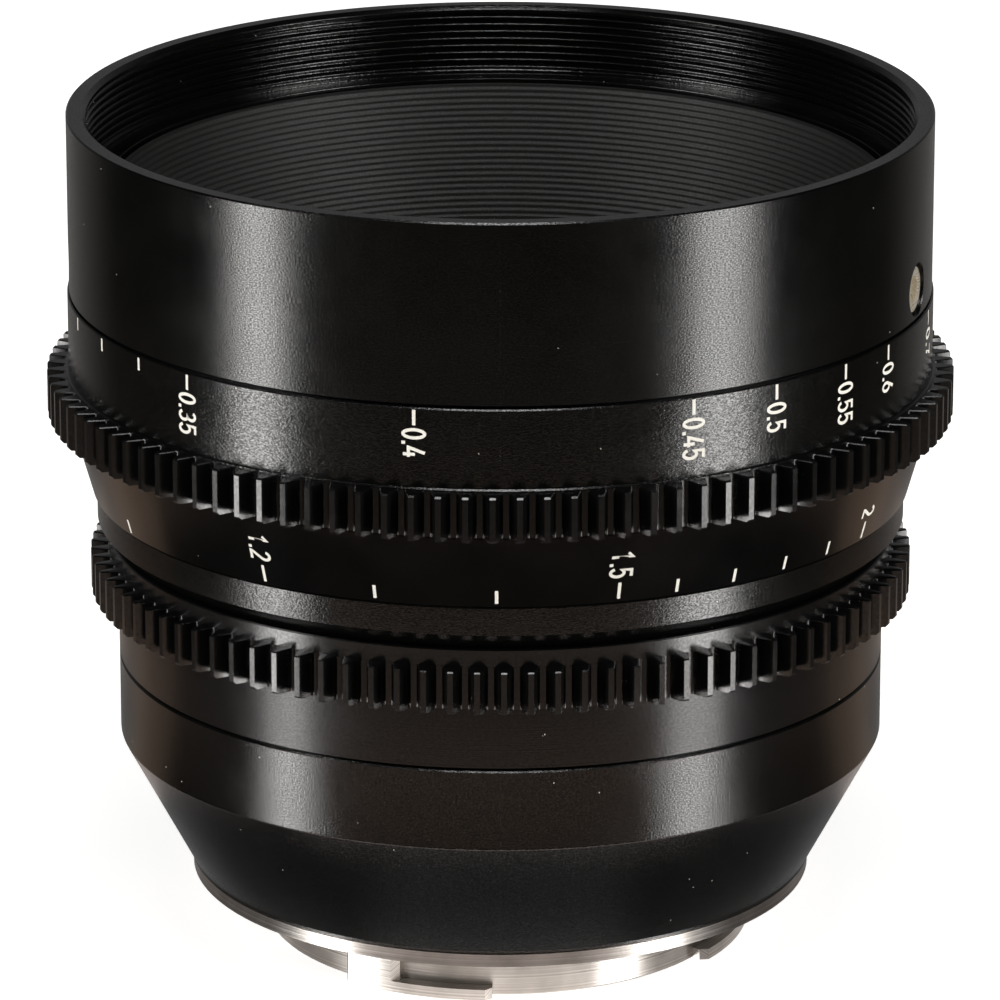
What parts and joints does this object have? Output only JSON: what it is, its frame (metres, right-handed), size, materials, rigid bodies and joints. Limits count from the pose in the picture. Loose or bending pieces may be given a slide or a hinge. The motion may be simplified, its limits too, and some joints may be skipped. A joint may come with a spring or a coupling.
{
  "type": "cinema prime lens",
  "caption": "Manual cinema prime lens with geared focus and iris rings, distance and T scales, ribbed front baffle and bayonet mount.",
  "frame": {"origin": "centre of the mount flange face, on the optical axis", "axes": "+Z along the optical axis, out of the front; the focus and iris index lines stand at turn 172 degrees from -Y towards +X, close to +Y"},
  "size_m": [0.0896, 0.0896, 0.0841],
  "materials": {
    "black_blasted": "matte",
    "black_satin": "satin",
    "black_polished": "gloss",
    "black_inner": "matte",
    "steel_bare": "satin",
    "steel_black": "satin",
    "blade_steel": "matte",
    "brass": "satin",
    "acetal": "matte",
    "glass": "gloss"
  },
  "bodies": {
    "barrel": {"front_ring": "black_blasted", "front_ring_screws": "steel_bare", "main_barrel": "black_inner", "aperture_scale_ring": "black_satin", "focus_thrust_ring": "acetal", "iris_thrust_ring": "acetal", "iris_stop_screw": "steel_black", "rear_sleeve": "black_satin", "rear_housing": "black_blasted", "shim_ring": "steel_bare", "mount_plate": "steel_bare", "mount_screws": "steel_bare", "rear_baffle": "black_inner", "rear_baffle_screws": "steel_black"},
    "focus": {"focus_ring": "black_blasted", "focus_gear": "black_polished"},
    "iris": {"iris_ring": "black_blasted", "iris_gear": "black_polished"},
    "optical_block": {"lens_carriage": "black_inner", "focus_rollers": "brass", "front_baffle": "black_inner", "front_cell": "black_inner", "front_retaining_ring": "black_inner", "front_element": "glass", "front_spacer": "black_inner", "second_element": "glass", "third_element": "glass", "iris_housing": "black_inner", "iris_cover": "black_inner", "rear_cell": "black_inner", "fourth_element": "glass", "rear_spacer": "black_inner", "fifth_element": "glass", "rear_group_ring": "black_inner", "rear_element": "glass", "rear_retaining_ring": "black_inner"},
    "actuator": {"actuator_ring": "brass"},
    "blade_1": {"iris_blade_1": "blade_steel"},
    "blade_2": {"iris_blade_2": "blade_steel"},
    "blade_3": {"iris_blade_3": "blade_steel"},
    "blade_4": {"iris_blade_4": "blade_steel"},
    "blade_5": {"iris_blade_5": "blade_steel"},
    "blade_6": {"iris_blade_6": "blade_steel"},
    "blade_7": {"iris_blade_7": "blade_steel"},
    "blade_8": {"iris_blade_8": "blade_steel"},
    "blade_9": {"iris_blade_9": "blade_steel"}
  },
  "joints": [
    {"name": "focus_turn", "type": "hinge", "parent": "barrel", "child": "focus", "pos_m": [0, 0, 0], "axis": [0, 0, 1], "range_deg": [0, 270]},
    {"name": "focus_slide", "type": "slide", "parent": "barrel", "child": "optical_block", "axis": [0, 0, 1], "range_m": [0, 0.00545]},
    {"name": "iris_turn", "type": "hinge", "parent": "barrel", "child": "iris", "pos_m": [0, 0, 0], "axis": [0, 0, 1], "range_deg": [-233.7, 0]},
    {"name": "actuator_turn", "type": "hinge", "parent": "optical_block", "child": "actuator", "pos_m": [0, 0, 0], "axis": [0, 0, 1], "range_deg": [-36, 0]},
    {"name": "blade_1_turn", "type": "hinge", "parent": "optical_block", "child": "blade_1", "pos_m": [0, -0.029, 0.03481], "axis": [0, 0, 1], "range_deg": [-33.57, 0]},
    {"name": "blade_2_turn", "type": "hinge", "parent": "optical_block", "child": "blade_2", "pos_m": [0.01864, -0.02221, 0.03507], "axis": [0, 0, 1], "range_deg": [-33.57, 0]},
    {"name": "blade_3_turn", "type": "hinge", "parent": "optical_block", "child": "blade_3", "pos_m": [0.02856, -0.00504, 0.03533], "axis": [0, 0, 1], "range_deg": [-33.57, 0]},
    {"name": "blade_4_turn", "type": "hinge", "parent": "optical_block", "child": "blade_4", "pos_m": [0.02511, 0.0145, 0.03559], "axis": [0, 0, 1], "range_deg": [-33.57, 0]},
    {"name": "blade_5_turn", "type": "hinge", "parent": "optical_block", "child": "blade_5", "pos_m": [0.00992, 0.02725, 0.03585], "axis": [0, 0, 1], "range_deg": [-33.57, 0]},
    {"name": "blade_6_turn", "type": "hinge", "parent": "optical_block", "child": "blade_6", "pos_m": [-0.00992, 0.02725, 0.03611], "axis": [0, 0, 1], "range_deg": [-33.57, 0]},
    {"name": "blade_7_turn", "type": "hinge", "parent": "optical_block", "child": "blade_7", "pos_m": [-0.02511, 0.0145, 0.03637], "axis": [0, 0, 1], "range_deg": [-33.57, 0]},
    {"name": "blade_8_turn", "type": "hinge", "parent": "optical_block", "child": "blade_8", "pos_m": [-0.02856, -0.00504, 0.03663], "axis": [0, 0, 1], "range_deg": [-33.57, 0]},
    {"name": "blade_9_turn", "type": "hinge", "parent": "optical_block", "child": "blade_9", "pos_m": [-0.01864, -0.02221, 0.03689], "axis": [0, 0, 1], "range_deg": [-33.57, 0]}
  ],
  "couplings": [
    {"joint": "focus_turn", "follows": "focus_slide", "rad_per_m": 864.66},
    {"joint": "actuator_turn", "follows": "iris_turn", "ratio": 0.15404},
    {"joint": "blade_1_turn", "follows": "iris_turn", "ratio": 0.14365},
    {"joint": "blade_2_turn", "follows": "iris_turn", "ratio": 0.14365},
    {"joint": "blade_3_turn", "follows": "iris_turn", "ratio": 0.14365},
    {"joint": "blade_4_turn", "follows": "iris_turn", "ratio": 0.14365},
    {"joint": "blade_5_turn", "follows": "iris_turn", "ratio": 0.14365},
    {"joint": "blade_6_turn", "follows": "iris_turn", "ratio": 0.14365},
    {"joint": "blade_7_turn", "follows": "iris_turn", "ratio": 0.14365},
    {"joint": "blade_8_turn", "follows": "iris_turn", "ratio": 0.14365},
    {"joint": "blade_9_turn", "follows": "iris_turn", "ratio": 0.14365}
  ]
}
